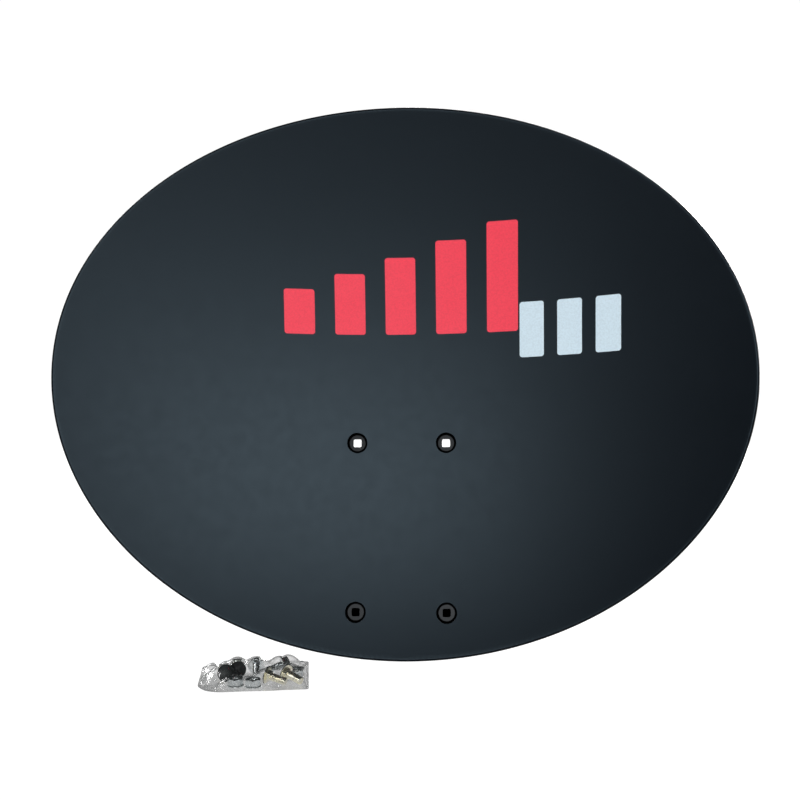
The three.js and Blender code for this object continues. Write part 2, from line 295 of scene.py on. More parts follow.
def coat_material(name, base, cloudy, sheen, sheen_level, roughness):
    """Dark powder coat whose colour and gloss vary a little, with the coat's fine grain."""
    nodes = Nodes(name)
    set_inputs(nodes.shader, Specular_IOR_Level=sheen_level, Specular_Tint=(*sheen, 1.0))
    cloud = nodes.ramp(nodes.noise(9.0, 3.0, 0.55, (1.0, 1.0, 1.6)), 0.0, 1.0, 0.35, 0.65)
    speck = nodes.ramp(nodes.noise(2600.0, 1.0), 0.0, 0.12, 0.5, 0.75)
    lighter = tuple(2.0 * c for c in cloudy)
    nodes.drive("Base Color", nodes.mix(speck, nodes.mix(cloud, base, cloudy), lighter))
    gloss = nodes.ramp(nodes.noise(110.0, 4.0), roughness - 0.012, roughness + 0.012, 0.3, 0.7)
    nodes.drive("Roughness", gloss)
    nodes.drive("Normal", powder_coat(nodes))
    return nodes.material


def paint_materials():
    """The coat, the thinner coat on the seats' floors, and near-black painted shade for the gaps round
    them.
    """
    coat = coat_material("slate_powder_coat", PAINT, PAINT_CLOUD, PAINT_SHEEN, 0.090, 0.315)
    # each coat's colour, clouding, sheen colour, sheen and roughness
    floor_looks = ((0.0048, 0.0050, 0.0056), (0.0060, 0.0062, 0.0068), (0.84, 0.90, 0.95), 0.11, 0.40)
    floor = coat_material("seat_floor_coat", *floor_looks)
    # painted shade: near black and without sheen, it stands for the shade in the seats' gaps and on the
    # holes' walls
    shade_paint_looks = ((0.0004, 0.0004, 0.0004), (0.0006, 0.0006, 0.0006), (1.0, 1.0, 1.0), 0.0, 0.8)
    painted_shade = coat_material("painted_groove_shade", *shade_paint_looks)
    return [coat, floor, painted_shade]


RED_INK, PALE_INK = (0.90, 0.050, 0.088), (0.625, 0.765, 0.855)


def ink_material(name, colour):
    """Screen-printed ink: it keeps the coat's grain, and its density varies a little."""
    nodes = Nodes(name)
    thin = tuple(0.9 * c for c in colour)
    density = nodes.ramp(nodes.noise(700.0, 3.0, 0.6), 0.0, 1.0, 0.35, 0.6)
    set_inputs(nodes.shader, Specular_IOR_Level=0.12)
    nodes.drive("Base Color", nodes.mix(density, thin, colour))
    nodes.drive("Roughness", nodes.ramp(nodes.noise(90.0), 0.42, 0.5))
    nodes.drive("Normal", powder_coat(nodes, 0.5))
    return nodes.material


def metal_material(name, colour, stain, roughness):
    """Plated steel with faint cloudy passivation and tumbling marks."""
    nodes = Nodes(name)
    set_inputs(nodes.shader, Metallic=1.0)
    cloud = nodes.ramp(nodes.noise(260.0, 4.0, 0.6), 0.0, 1.0, 0.38, 0.66)
    nodes.drive("Base Color", nodes.mix(cloud, colour, stain))
    gloss = nodes.ramp(nodes.noise(900.0, 3.0), roughness - 0.08, roughness + 0.1, 0.3, 0.7)
    nodes.drive("Roughness", gloss)
    nodes.drive("Normal", nodes.bump(nodes.noise(2200.0, 2.0), 0.00002, 0.5))
    return nodes.material


HEAD_BLACK, HEAD_WORN = (0.002, 0.0021, 0.0026), (0.01, 0.011, 0.012)


def black_head_material():
    """Black paint on the square-neck bolts' heads, rubbed grey in places."""
    nodes = Nodes("black_head_paint")
    worn = nodes.ramp(nodes.noise(500.0, 4.0, 0.65), 0.0, 1.0, 0.62, 0.72)
    set_inputs(nodes.shader, Specular_IOR_Level=0.12)
    nodes.drive("Base Color", nodes.mix(worn, HEAD_BLACK, HEAD_WORN))
    nodes.drive("Roughness", nodes.ramp(nodes.noise(300.0, 2.0), 0.42, 0.6))
    nodes.drive("Normal", nodes.bump(nodes.noise(1800.0, 2.0), 0.00003, 0.5))
    return nodes.material


FILM_GREY, FILM_HAZE = (0.02, 0.024, 0.024), (0.08, 0.09, 0.088)


def film_material():
    """Clear polyethylene: thin, a little grey, and more so where it is seen edge on."""
    nodes = Nodes("bag_polyethylene")
    set_inputs(nodes.shader, Specular_IOR_Level=1.0)
    haze = nodes.ramp(nodes.noise(70.0, 3.0, 0.6), 0.0, 1.0, 0.35, 0.65)
    nodes.drive("Base Color", nodes.mix(haze, FILM_GREY, FILM_HAZE))
    crease = nodes.noise(190.0, 2.0, 0.5, (1.6, 0.7, 1.0))
    nodes.drive("Roughness", nodes.ramp(crease, 0.08, 0.20, 0.3, 0.7))
    facing = nodes.add("ShaderNodeLayerWeight").outputs["Facing"]
    milky = nodes.add("ShaderNodeMath", operation="ADD")
    nodes.link(nodes.ramp(haze, 0.10, 0.17), milky.inputs[0])
    nodes.link(nodes.ramp(facing, 0.0, 0.30, 0.3, 1.0), milky.inputs[1])
    nodes.drive("Alpha", milky.outputs["Value"])
    nodes.drive("Normal", nodes.bump(crease, 0.0009, 0.35))
    return nodes.material


# ---- the reflector: one pressed sheet with four seats and a rolled rim ----
CHORD_TILT = math.atan(APERTURE_OFFSET / (2 * FOCAL_LENGTH))
PATTERN_TILT = math.atan(PATTERN_U / (2 * FOCAL_LENGTH))
SEAT_LEAN = CHORD_TILT - PATTERN_TILT
HALF_X = BOLT_SPACING_X / 2
HALF_V = BOLT_SPACING_V / 2


def depth(x, u):
    """The paraboloid's depth, on its own axes."""
    return (x * x + u * u) / (4 * FOCAL_LENGTH)


def pattern_centre():
    half_u = HALF_V * math.cos(PATTERN_TILT)
    middle = (depth(HALF_X, PATTERN_U + half_u) + depth(HALF_X, PATTERN_U - half_u)) / 2
    back = SEAT_DEPTH + SHEET
    return PATTERN_U + back * math.sin(PATTERN_TILT), middle - back * math.cos(PATTERN_TILT)


CENTRE_U, CENTRE_W = pattern_centre()


def boresight_to_part(points):
    """(x, u, w) on the paraboloid's axes to the part's own X, Y, Z."""
    u = points[:, 1] - CENTRE_U
    w = points[:, 2] - CENTRE_W
    c, s = math.cos(CHORD_TILT), math.sin(CHORD_TILT)
    return np.stack([points[:, 0], s * u - c * w, c * u + s * w], axis=1)


def seat_to_part(x, v, h):
    """Seat coordinates: v up the seats' plane, h out of its front from the plane of the seats' backs."""
    c, s = math.cos(SEAT_LEAN), math.sin(SEAT_LEAN)
    return np.stack([x, s * v - c * h, c * v + s * h], axis=1)


def boresight_to_seat(x, u, w):
    du, dw = u - CENTRE_U, w - CENTRE_W
    c, s = math.cos(PATTERN_TILT), math.sin(PATTERN_TILT)
    return x, c * du + s * dw, c * dw - s * du


def surface_height(x, v):
    """Height of the paraboloid over the seats' back plane, by Newton's method."""
    c, s = math.cos(PATTERN_TILT), math.sin(PATTERN_TILT)
    h = np.full_like(x, SEAT_DEPTH + SHEET)
    for _ in range(8):
        u = CENTRE_U + v * c - h * s
        w = CENTRE_W + v * s + h * c
        miss = depth(x, u) - w
        h = h + miss / (c + 2 * u * s / (4 * FOCAL_LENGTH))
    return h


def ease(t):
    t = np.clip(t, 0.0, 1.0)
    return t * t * (3 - 2 * t)


SEATS = [(sx * HALF_X, sv * HALF_V) for sx in (-1, 1) for sv in (-1, 1)]
GROOVE_DEPTH = 0.5
FLOOR_RADIUS, GROOVE_RADIUS = 6.95, 7.2
WALL_RADIUS, MOUTH_RADIUS = 8.2, 8.6
BACK_RADIUS, BACK_MOUTH_RADIUS = 8.8, 9.6
HOLE_CORNER = 1.2


def seat_heights(x, v, surface):
    """Front and back heights of the sheet, pressed back at the seats."""
    front = surface.copy()
    slant = np.sqrt(1 + (x / (2 * FOCAL_LENGTH)) ** 2 + (v / (2 * FOCAL_LENGTH)) ** 2)
    back = surface - SHEET * slant
    for sx, sv in SEATS:
        r = np.hypot(x - sx, v - sv)
        near = r < BACK_MOUTH_RADIUS + 0.01
        groove = SHEET - GROOVE_DEPTH * ease((r - FLOOR_RADIUS) / (GROOVE_RADIUS - FLOOR_RADIUS))
        wall = ease((r - WALL_RADIUS) / (MOUTH_RADIUS - WALL_RADIUS))
        front = np.where(near, groove + (surface - groove) * wall, front)
        rise = ease((r - BACK_RADIUS) / (BACK_MOUTH_RADIUS - BACK_RADIUS))
        back = np.where(near, back * rise, back)
    return front, back


def rounded_square(side, corner, per_corner=5, per_side=6):
    half = side / 2
    flat = half - corner
    points = []
    for quarter in range(4):
        turn = quarter * math.pi / 2
        c, s = math.cos(turn), math.sin(turn)
        outline = [(half, -flat + 2 * flat * i / per_side) for i in range(per_side)]
        for i in range(per_corner):
            a = math.pi / 2 * i / per_corner
            outline.append((flat + corner * math.cos(a), flat + corner * math.sin(a)))
        points += [(c * x - s * y, s * x + c * y) for x, y in outline]
    return points


RIM_STEPS = 384
BEND_STEPS = 8
CURL_STEPS = 12
ROLL_STEPS = BEND_STEPS + CURL_STEPS + 1
EDGE_X = DISH_WIDTH / 2 - RIM_INSET
EDGE_U = DISH_HEIGHT * math.cos(CHORD_TILT) / 2 - RIM_INSET


def ellipse_point(share, angle):
    x = share * EDGE_X * math.cos(angle)
    u = APERTURE_OFFSET + share * EDGE_U * math.sin(angle)
    return boresight_to_seat(x, u, depth(x, u))[:2]


SEAT_RINGS = (5.4, 6.0, 6.5, 6.85, 6.95, 7.03, 7.11, 7.2, 7.5, 7.9, 8.2, 8.27, 8.34, 8.4, 8.46,
              8.53, 8.6, 8.75, 8.9, 9.1, 9.35, 9.6, 10.2, 11.0, 12.2)
SEAT_RING_POINTS = 64
SEAT_PATCH_RADIUS = 14.0
BOWL_RINGS = 52
EDGE_RINGS = (0.9982, 0.994)


def sheet_layout():
    """The flat pattern of points: the rim first, then each hole's edge, then the rest."""
    points = [ellipse_point(1.0, a) for a in around(RIM_STEPS)]
    loops = [list(range(RIM_STEPS))]
    hole = rounded_square(SQUARE_HOLE, HOLE_CORNER)
    for sx, sv in SEATS:
        loops.append(list(range(len(points), len(points) + len(hole))))
        points += [(sx + x, sv + y) for x, y in hole]
    for sx, sv in SEATS:
        points += [(sx + x, sv + y) for x, y in rounded_square(SQUARE_HOLE + 0.9, HOLE_CORNER + 0.4)]
        for k, r in enumerate(SEAT_RINGS):
            angles = around(SEAT_RING_POINTS, 0.5 * (k % 2))
            points += [(sx + r * math.cos(a), sv + r * math.sin(a)) for a in angles]
    for share in EDGE_RINGS:
        points += [ellipse_point(share, a) for a in around(RIM_STEPS, 0.5)]
    for ring in range(1, BOWL_RINGS):
        share = 1.0 - ring / BOWL_RINGS
        count = RIM_STEPS if ring <= 3 else max(8, int(round(RIM_STEPS * share * 0.8)))
        for a in around(count, 0.5 * (ring % 2)):
            x, v = ellipse_point(share, a)
            if min(math.hypot(x - sx, v - sv) for sx, sv in SEATS) > SEAT_PATCH_RADIUS:
                points.append((x, v))
    points.append(ellipse_point(0.0, 0.0))
    return points, loops


def rim_profile():
    """(turn, outward, rise) round the rim's outer face: a tight bend, a short flange and an inward curl."""
    def spoke(turn):
        return math.sin(turn), math.cos(turn)

    bend = math.radians(BEND_TURN)
    stops = []
    for step in range(1, BEND_STEPS + 1):
        turn = bend * step / BEND_STEPS
        out, up = spoke(turn)
        stops.append((turn, BEND_RADIUS * out, BEND_RADIUS * (up - 1)))
    out, up = spoke(bend)
    outward, rise = stops[-1][1] + FLANGE_LENGTH * up, stops[-1][2] - FLANGE_LENGTH * out
    centre = (outward - CURL_RADIUS * out, rise - CURL_RADIUS * up)
    for step in range(CURL_STEPS + 1):
        turn = bend + math.radians(CURL_TURN) * step / CURL_STEPS
        out, up = spoke(turn)
        stops.append((turn, centre[0] + CURL_RADIUS * out, centre[1] + CURL_RADIUS * up))
    return stops


def rolled_rim(front_edge, normal, outward):
    """Rings of points round the rolled rim, on its outer and inner faces."""
    outer, inner = [], []
    for turn, out, rise in rim_profile():
        point = front_edge + outward * out + normal * rise
        outer.append(point)
        inner.append(point - SHEET * (outward * math.sin(turn) + normal * math.cos(turn)))
    return outer, inner


def rim_frames():
    a = 2 * math.pi * np.arange(RIM_STEPS) / RIM_STEPS
    x, u = EDGE_X * np.cos(a), APERTURE_OFFSET + EDGE_U * np.sin(a)
    edge = np.stack([x, u, depth(x, u)], axis=1)
    normal = np.stack([-x, -u, np.full_like(x, 2 * FOCAL_LENGTH)], axis=1)
    normal /= np.linalg.norm(normal, axis=1)[:, None]
    dx, du = -EDGE_X * np.sin(a), EDGE_U * np.cos(a)
    along = np.stack([dx, du, (x * dx + u * du) / (2 * FOCAL_LENGTH)], axis=1)
    outward = np.cross(along, normal)
    outward /= np.linalg.norm(outward, axis=1)[:, None]
    return edge, normal, outward


def build_reflector():
    points, loops = sheet_layout()
    edges = [(loop[i], loop[(i + 1) % len(loop)]) for loop in loops for i in range(len(loop))]
    found = delaunay_2d_cdt([Vector(p) for p in points], edges, [], 0, 1e-6)
    flat, faces, origins = found[0], found[2], found[3]
    new_of = {old: new for new, olds in enumerate(origins) for old in olds}
    x = np.array([p.x for p in flat])
    v = np.array([p.y for p in flat])
    surface = surface_height(x, v)
    front, back = seat_heights(x, v, surface)
    count = len(flat)
    edge, normal, outward = rim_frames()
    outer, inner = rolled_rim(edge, normal, outward)
    rim = [new_of[i] for i in loops[0]]
    front_points = seat_to_part(x, v, front)
    back_points = seat_to_part(x, v, back)
    back_points[rim] = boresight_to_part(edge - SHEET * normal)
    vertices = np.concatenate([front_points, back_points] + [boresight_to_part(p) for p in outer + inner])
    hole_edges = [[new_of[i] for i in loop] for loop in loops[1:]]
    in_hole = [set(loop) for loop in hole_edges]
    shell = []
    for face in faces:
        if not any(set(face) <= members for members in in_hole):
            shell += [tuple(face), tuple(count + i for i in reversed(face))]
    for loop in hole_edges:
        shell += band(loop, [count + i for i in loop])
    rolled = rings_of(RIM_STEPS, 2 * ROLL_STEPS, 2 * count)
    outer_rows = [rim] + rolled[:ROLL_STEPS]
    inner_rows = [[count + i for i in rim]] + rolled[ROLL_STEPS:]
    path = outer_rows + inner_rows[::-1]
    for upper, lower in zip(path, path[1:]):
        shell += band(upper, lower)
    obj = closed_object("reflector_sheet", vertices, shell, MM)
    smooth(obj, 40.0)
    mark_seats(obj)
    return obj


def seat_radius(point):
    """Distance from the nearest seat's centre, for a point of the part in metres."""
    c, s = math.cos(SEAT_LEAN), math.sin(SEAT_LEAN)
    x, v = point.x / MM, (s * point.y + c * point.z) / MM
    return min(math.hypot(x - sx, v - sv) for sx, sv in SEATS)


def mark_seats(obj):
    """The floor's paint on each seat, and near-black painted shade in the gap round it and on the hole's
    walls.
    """
    floor_paint, painted_shade = 1, 2
    for polygon in obj.data.polygons:
        facing_front = polygon.normal.y < 0.3
        r = seat_radius(polygon.center)
        hole_wall = abs(polygon.normal.y) < 0.5 and r < SQUARE_HOLE * 0.72
        # the hole's walls and the gap round the seat's floor get the painted shade
        if hole_wall:
            polygon.material_index = painted_shade
        elif facing_front and r < FLOOR_RADIUS + 0.05:
            polygon.material_index = floor_paint
        elif facing_front and r < MOUTH_RADIUS - 0.05:
            polygon.material_index = painted_shade


# ---- printed bars ----
RED_BARS = 5
RED_BAR_WIDTH = 26.0
RED_BAR_PITCH = 43.3
RED_BASE_U = 234.5
RED_LEFT_X = -99.5
RED_LOW = 36.0
RED_RISE = 12.5
PALE_BARS = 3
PALE_BAR_WIDTH = 20.0
PALE_BAR_PITCH = 31.0
PALE_BASE_U = 213.0
PALE_LEFT_X = 101.0
PALE_HEIGHT = 44.0
INK_GAP = 0.03
INK = 0.06
BAR_CORNER = 2.2
ROW_HEIGHT = 2.5


def build_bar(name, left, base, width, height):
    """A thin patch of ink with round corners, on the paraboloid's front."""
    columns, rows = 14, int(height / ROW_HEIGHT)

    def place_in(s, t):
        x, y = s * width, t * height
        inset_x = min(max(BAR_CORNER - min(x, width - x), 0.0), BAR_CORNER)
        inset_y = min(max(BAR_CORNER - min(y, height - y), 0.0), BAR_CORNER)
        reach = math.hypot(inset_x, inset_y)
        if reach > 1e-9 and inset_x > 0 and inset_y > 0:
            shrink = max(inset_x, inset_y) / reach
            x += (1 if x > width / 2 else -1) * (inset_x * shrink - inset_x)
            y += (1 if y > height / 2 else -1) * (inset_y * shrink - inset_y)
        return left + x, base + y

    def spread(n, size):
        """Shares of the length, closer together at the round corners."""
        corner = [BAR_CORNER / size * k / 4 for k in range(4)]
        middle = [BAR_CORNER / size + (1 - 2 * BAR_CORNER / size) * k / n for k in range(n + 1)]
        return corner + middle + [1 - c for c in reversed(corner)]

    grid = [[place_in(s, t) for s in spread(columns, width)] for t in spread(rows, height)]
    wide, tall = len(grid[0]), len(grid)
    vertices = []
    for lift in (INK_GAP, INK_GAP + INK):
        for row in grid:
            for x, u in row:
                normal = Vector((-x, -u, 2 * FOCAL_LENGTH)).normalized()
                vertices.append(Vector((x, u, depth(x, u))) + normal * lift)
    vertices = boresight_to_part(np.array([list(p) for p in vertices]))
    layer = wide * tall

    def at(i, j, k):
        return k * layer + j * wide + i

    faces = []
    for j in range(tall - 1):
        for i in range(wide - 1):
            faces.append((at(i, j, 1), at(i + 1, j, 1), at(i + 1, j + 1, 1), at(i, j + 1, 1)))
            faces.append((at(i, j, 0), at(i, j + 1, 0), at(i + 1, j + 1, 0), at(i + 1, j, 0)))
    ring = [(i, 0) for i in range(wide)] + [(wide - 1, j) for j in range(1, tall)]
    ring += [(i, tall - 1) for i in range(wide - 2, -1, -1)] + [(0, j) for j in range(tall - 2, 0, -1)]
    faces += band([at(i, j, 0) for i, j in ring], [at(i, j, 1) for i, j in ring])
    obj = closed_object(name, vertices, faces, MM)
    smooth(obj, 50.0)
    return obj


def build_print(red, pale):
    for bar in range(RED_BARS):
        name = f"print_red_bar_{bar + 1}"
        height = RED_LOW + bar * RED_RISE
        obj = build_bar(name, RED_LEFT_X + bar * RED_BAR_PITCH, RED_BASE_U, RED_BAR_WIDTH, height)
        finish_piece(obj, f"ink_red_bar_{bar + 1}", "reflector", red, [name])
    for bar in range(PALE_BARS):
        name = f"print_pale_bar_{bar + 1}"
        obj = build_bar(name, PALE_LEFT_X + bar * PALE_BAR_PITCH, PALE_BASE_U, PALE_BAR_WIDTH, PALE_HEIGHT)
        finish_piece(obj, f"ink_pale_bar_{bar + 1}", "reflector", pale, [name])


# ---- fasteners: each is made along +X from the underside of its head ----
ROD_SIDES, MOUTH_SIDES, HEAD_SIDES = 40, 48, 72
STEPS_A_TURN = 10


def thread_radius(turns, crest, root):
    """Radius of a 60-degree thread with flats, after so many turns."""
    share = turns - math.floor(turns)
    steepness, root_flat = 1.3, 0.12
    rise = min(max((0.5 - abs(share - 0.5)) * 2.0 * steepness - root_flat, 0.0), 1.0)
    return root + (crest - root) * rise


def revolve(name, stations, sides, radius_at=None):
    """A closed solid round X. stations are (x, radius); radius_at(x, angle, radius) may change it."""
    vertices, faces = [], []
    for x, radius in stations:
        for a in around(sides):
            r = radius_at(x, a, radius) if radius_at else radius
            vertices.append((x, r * math.cos(a), r * math.sin(a)))
    rings = rings_of(sides, len(stations))
    for ring, following in zip(rings, rings[1:]):
        faces += band(ring, following)
    for ring, (x, _) in ((rings[0], stations[0]), (rings[-1], stations[-1])):
        hub = len(vertices)
        vertices.append((x, 0.0, 0.0))
        faces += [(hub, a, b) for a, b in zip(ring, ring[1:] + ring[:1])]
    return closed_object(name, vertices, faces)


def threaded_rod(start, end, crest, root, chamfer=0.7):
    steps = int((end - start) / THREAD_PITCH * STEPS_A_TURN)
    stations = [(start + (end - start) * k / steps, crest) for k in range(steps + 1)]

    def radius_at(x, angle, radius):
        r = thread_radius(x / THREAD_PITCH - angle / (2 * math.pi), radius, root)
        return min(r, crest - chamfer + (end - x) * 1.2) if chamfer else r

    return revolve("rod", stations, ROD_SIDES, radius_at)


def rounded_neck():
    """The square neck, its corners rounded and its far end drawn in."""
    outline = rounded_square(NECK_SIDE, 0.5, 4, 2)
    stations = [(-0.2, 1.0), (NECK_LENGTH - 0.5, 1.0), (NECK_LENGTH - 0.15, 0.95), (NECK_LENGTH, 0.86)]
    vertices = [(x, y * scale, z * scale) for x, scale in stations for y, z in outline]
    rings = rings_of(len(outline), len(stations))
    faces = []
    for ring, following in zip(rings, rings[1:]):
        faces += band(ring, following)
    faces += [tuple(rings[0]), tuple(rings[-1])]
    return closed_object("neck", vertices, faces)


def dome_stations():
    """The low round head, with a soft edge and a flat underside."""
    stations = []
    for part in (k / 12 for k in range(13)):
        fall = (CARRIAGE_HEAD_HEIGHT - 0.9) * part * part
        stations.append((fall - CARRIAGE_HEAD_HEIGHT, max(0.02, (CARRIAGE_HEAD_RADIUS - 0.45) * part)))
    for k in range(1, 9):
        a = math.pi * k / 9
        stations.append((-0.45 - 0.45 * math.cos(a), CARRIAGE_HEAD_RADIUS - 0.45 + 0.45 * math.sin(a)))
    stations.append((0.0, CARRIAGE_HEAD_RADIUS - 0.6))
    return stations


def build_carriage_bolt():
    bolt = revolve("bolt", dome_stations(), HEAD_SIDES)
    combine(bolt, rounded_neck(), "UNION")
    shank = threaded_rod(NECK_LENGTH - 0.6, CARRIAGE_LENGTH, SHANK_RADIUS, ROOT_RADIUS)
    return combine(bolt, shank, "UNION")


def hex_prism(flats, start, end):
    radius = flats / math.sqrt(3)
    return revolve("hex", [(start, radius), (end, radius)], 6)


def build_flange_screw():
    """Hex washer-head screw: chamfered hex, coned flange, full thread."""
    top = -SCREW_HEAD_HEIGHT
    corner = SCREW_HEX_FLATS / math.sqrt(3)
    head = hex_prism(SCREW_HEX_FLATS, top, -0.6)
    cap = [(top, corner - 1.0), (top + 0.7, corner + 0.05), (0.0, corner + 0.05)]
    combine(head, revolve("cap", cap, HEAD_SIDES), "INTERSECT")
    flange = [(-1.9, 4.7), (-1.5, 5.2), (-0.9, FLANGE_RADIUS - 0.15), (-0.6, FLANGE_RADIUS),
              (-0.15, FLANGE_RADIUS), (0.0, FLANGE_RADIUS - 0.2)]
    combine(head, revolve("flange", flange, HEAD_SIDES), "UNION")
    return combine(head, threaded_rod(-0.4, SCREW_LENGTH, SHANK_RADIUS, ROOT_RADIUS), "UNION")


def build_nut():
    """Hex nut centred on its middle, chamfered on both sides, with a threaded bore."""
    half = NUT_HEIGHT / 2
    corner = NUT_FLATS / math.sqrt(3)
    nut = hex_prism(NUT_FLATS, -half, half)
    round_off = [(-half, corner - 0.95), (-half + 0.55, corner + 0.03), (half - 0.55, corner + 0.03),
                 (half, corner - 0.95)]
    combine(nut, revolve("round_off", round_off, HEAD_SIDES), "INTERSECT")
    rod = threaded_rod(-half - 1.0, half + 1.0, NUT_BORE_RADIUS + 0.32, NUT_BORE_RADIUS, chamfer=0)
    combine(nut, rod, "DIFFERENCE")
    for side in (-1, 1):
        mouth = [(side * (half + 0.5), NUT_BORE_RADIUS + 1.0), (side * (half - 0.45), NUT_BORE_RADIUS)]
        combine(nut, revolve("mouth", sorted(mouth), MOUTH_SIDES), "DIFFERENCE")
    return nut


def build_tooth_washer():
    """The nut's captive lock washer: a flat ring with twisted teeth round its edge."""
    teeth, per_tooth = 18, 8
    tooth_share, gap_radius, bend = 0.62, 5.0, 0.3
    count = teeth * per_tooth
    half = WASHER_HEIGHT / 2
    inner = NUT_BORE_RADIUS + 0.25
    rings = [(inner, 0.0), (4.4, 0.0), (4.9, 0.35), (WASHER_RADIUS, 1.0)]
    vertices, faces = [], []
    for side in (-1, 1):
        for radius, twist in rings:
            for i, a in enumerate(around(count)):
                phase = (i % per_tooth) / per_tooth
                in_gap = phase > tooth_share
                reach = min(radius, gap_radius) if in_gap else radius
                tilt = 0.0 if in_gap else twist * bend * (phase / tooth_share * 2 - 1)
                x = side * (half - 0.32) + tilt
                vertices.append((max(-half, min(half, x)), reach * math.cos(a), reach * math.sin(a)))
    layer = len(rings) * count
    lower, upper = rings_of(count, len(rings)), rings_of(count, len(rings), layer)
    for first, second in zip(lower, lower[1:]):
        for a, b, d, c in band(first, second):
            faces.append((a, b, d, c))
            faces.append((layer + a, layer + c, layer + d, layer + b))
    faces += band(lower[0], upper[0]) + band(lower[-1], upper[-1])
    return closed_object("washer", vertices, faces)


CARRIAGE_PLACES = [
    (-21.7, -6.8, 107.8, SHANK_RADIUS),
    (-13.0, 1.0, 95.5, NUT_FLATS / math.sqrt(3)),
    (10.8, -16.3, -23.8, SHANK_RADIUS),
    (25.2, -11.8, -43.9, SHANK_RADIUS),
]
CARRIAGE_SPINS = (20.0, 45.0, 8.0, 33.0)
# x, y and heading in degrees
SCREW_PLACES = [
    (0.9, 9.0, -86.6),
    (21.2, 12.4, 197.7),
]
# x, y, and whether the washer is on top
LOOSE_NUTS = [
    (-13.2, -20.5, False),
    (0.2, -23.8, False),
    (32.0, 2.2, True),
]


def kit_frame():
    """Where the bagged hardware sits: its middle on the surface, turned a little."""
    lo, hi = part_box("bag_bottom_film")
    middle = Vector(((lo.x + hi.x) / 2, (lo.y + hi.y) / 2, lo.z))
    turn = Matrix.Rotation(BAG_TURN, 4, "Z")
    bag_middle = turn @ Vector((0.0, BAG_SHIFT * MM, 0.0))
    return Matrix.Translation(middle - bag_middle) @ turn @ Matrix.Scale(MM, 4)


def lying(x, y, heading, head_radius, length, end_radius):
    tilt = math.asin((head_radius - end_radius) / length)
    height = REST_HEIGHT + head_radius * math.cos(tilt)
    turn = Matrix.Rotation(math.radians(heading), 4, "Z") @ Matrix.Rotation(tilt, 4, "Y")
    return kit_frame() @ Matrix.Translation((x, y, height)) @ turn


def paint_head(obj):
    """Black paint on the head's top and edge; the plated metal everywhere else."""
    paint_ends_at = -0.12
    for polygon in obj.data.polygons:
        middle = polygon.center
        on_head = middle.x < paint_ends_at and math.hypot(middle.y, middle.z) < CARRIAGE_HEAD_RADIUS + 0.1
        polygon.material_index = 1 if on_head else 0


def lay_copy(source, matrix, name, body, look):
    """A copy of a fastener, laid in place, replaces the plain solid of that name."""
    piece = put_in_scene(name, source.data.copy())
    piece.data.transform(matrix)
    finish_piece(piece, f"{name}_fine", body, look, [name])


def build_fasteners(yellow, bright, black, nut_metal, washer_metal):
    bolt = build_carriage_bolt()
    bolt.data.materials.clear()
    bolt.data.materials.append(yellow)
    bolt.data.materials.append(black)
    paint_head(bolt)
    smooth(bolt, 32.0)
    rests = []
    for i, (x, y, heading, end_radius) in enumerate(CARRIAGE_PLACES):
        rest = lying(x, y, heading, CARRIAGE_HEAD_RADIUS, CARRIAGE_LENGTH, end_radius)
        rests.append(rest)
        spin = Matrix.Rotation(math.radians(CARRIAGE_SPINS[i]), 4, "X")
        lay_copy(bolt, rest @ spin, f"carriage_bolt_{i + 1}", "hardware_kit", None)
    screw = build_flange_screw()
    smooth(screw, 32.0)
    for i, (x, y, heading) in enumerate(SCREW_PLACES):
        rest = lying(x, y, heading, FLANGE_RADIUS, SCREW_LENGTH, SHANK_RADIUS)
        spin = Matrix.Rotation(0.4 + i, 4, "X")
        lay_copy(screw, rest @ spin, f"flange_screw_{i + 1}", "hardware_kit", bright)
    nut = build_nut()
    smooth(nut, 32.0)
    washer = build_tooth_washer()
    smooth(washer, 32.0)
    stack = WASHER_HEIGHT + PIECE_GAP + NUT_HEIGHT
    places = [(rests[1], THREADED_NUT_AT, False, "nut_1")]
    for x, y, flipped in LOOSE_NUTS:
        rest = kit_frame() @ Matrix.Translation((x, y, REST_HEIGHT)) @ Matrix.Rotation(-math.pi / 2, 4, "Y")
        places.append((rest, 0.0, flipped, "hardware_kit"))
    for i, (rest, start, flipped, body) in enumerate(places):
        washer_at, nut_at = WASHER_HEIGHT / 2, WASHER_HEIGHT + PIECE_GAP + NUT_HEIGHT / 2
        if flipped:
            washer_at, nut_at = stack - washer_at, stack - nut_at
        name = f"nut_{i + 1}"
        along = Matrix.Translation((start + nut_at, 0, 0))
        lay_copy(nut, rest @ along, name, body, nut_metal)
        along = Matrix.Translation((start + washer_at, 0, 0))
        lay_copy(washer, rest @ along, f"{name}_washer", f"{name}_washer", washer_metal)
    for source in (bolt, screw, nut, washer):
        bpy.data.objects.remove(source)


# ---- the bag: two films sealed together round their edge ----
# each corner's side, end and radius
BAG_CORNERS = ((-1, -1, 20.0), (1, -1, 2.0), (1, 1, 3.0), (-1, 1, 7.0))
SEAL_WIDTH = 2.2
FILM_STEP = 1.3
# the films' rows of points lie this share of a step apart, for even triangles
ROW_SHARE = 0.866
FILM_THICK = 0.06
# how far the back of the seal is drawn up at each side
LEFT_LIFT, RIGHT_LIFT = 4.0, 5.0
OVER_CLEAR, UNDER_CLEAR = 0.5, 0.35
SAG, SAG_GROWTH = 0.12, 0.055
# x, y and height of the folds that stand up by themselves before the film falls
PROPPED = ((-33.0, 13.0, 9.5), (-31.0, -3.0, 8.0), (-23.0, 16.0, 10.2), (36.0, 16.0, 8.0))
# the cloth is simulated ten times larger than life
SIM_SCALE = 0.01
DRAPE_FRAMES = 45


def smoothstep(low, high, value):
    return float(ease((value - low) / (high - low)))


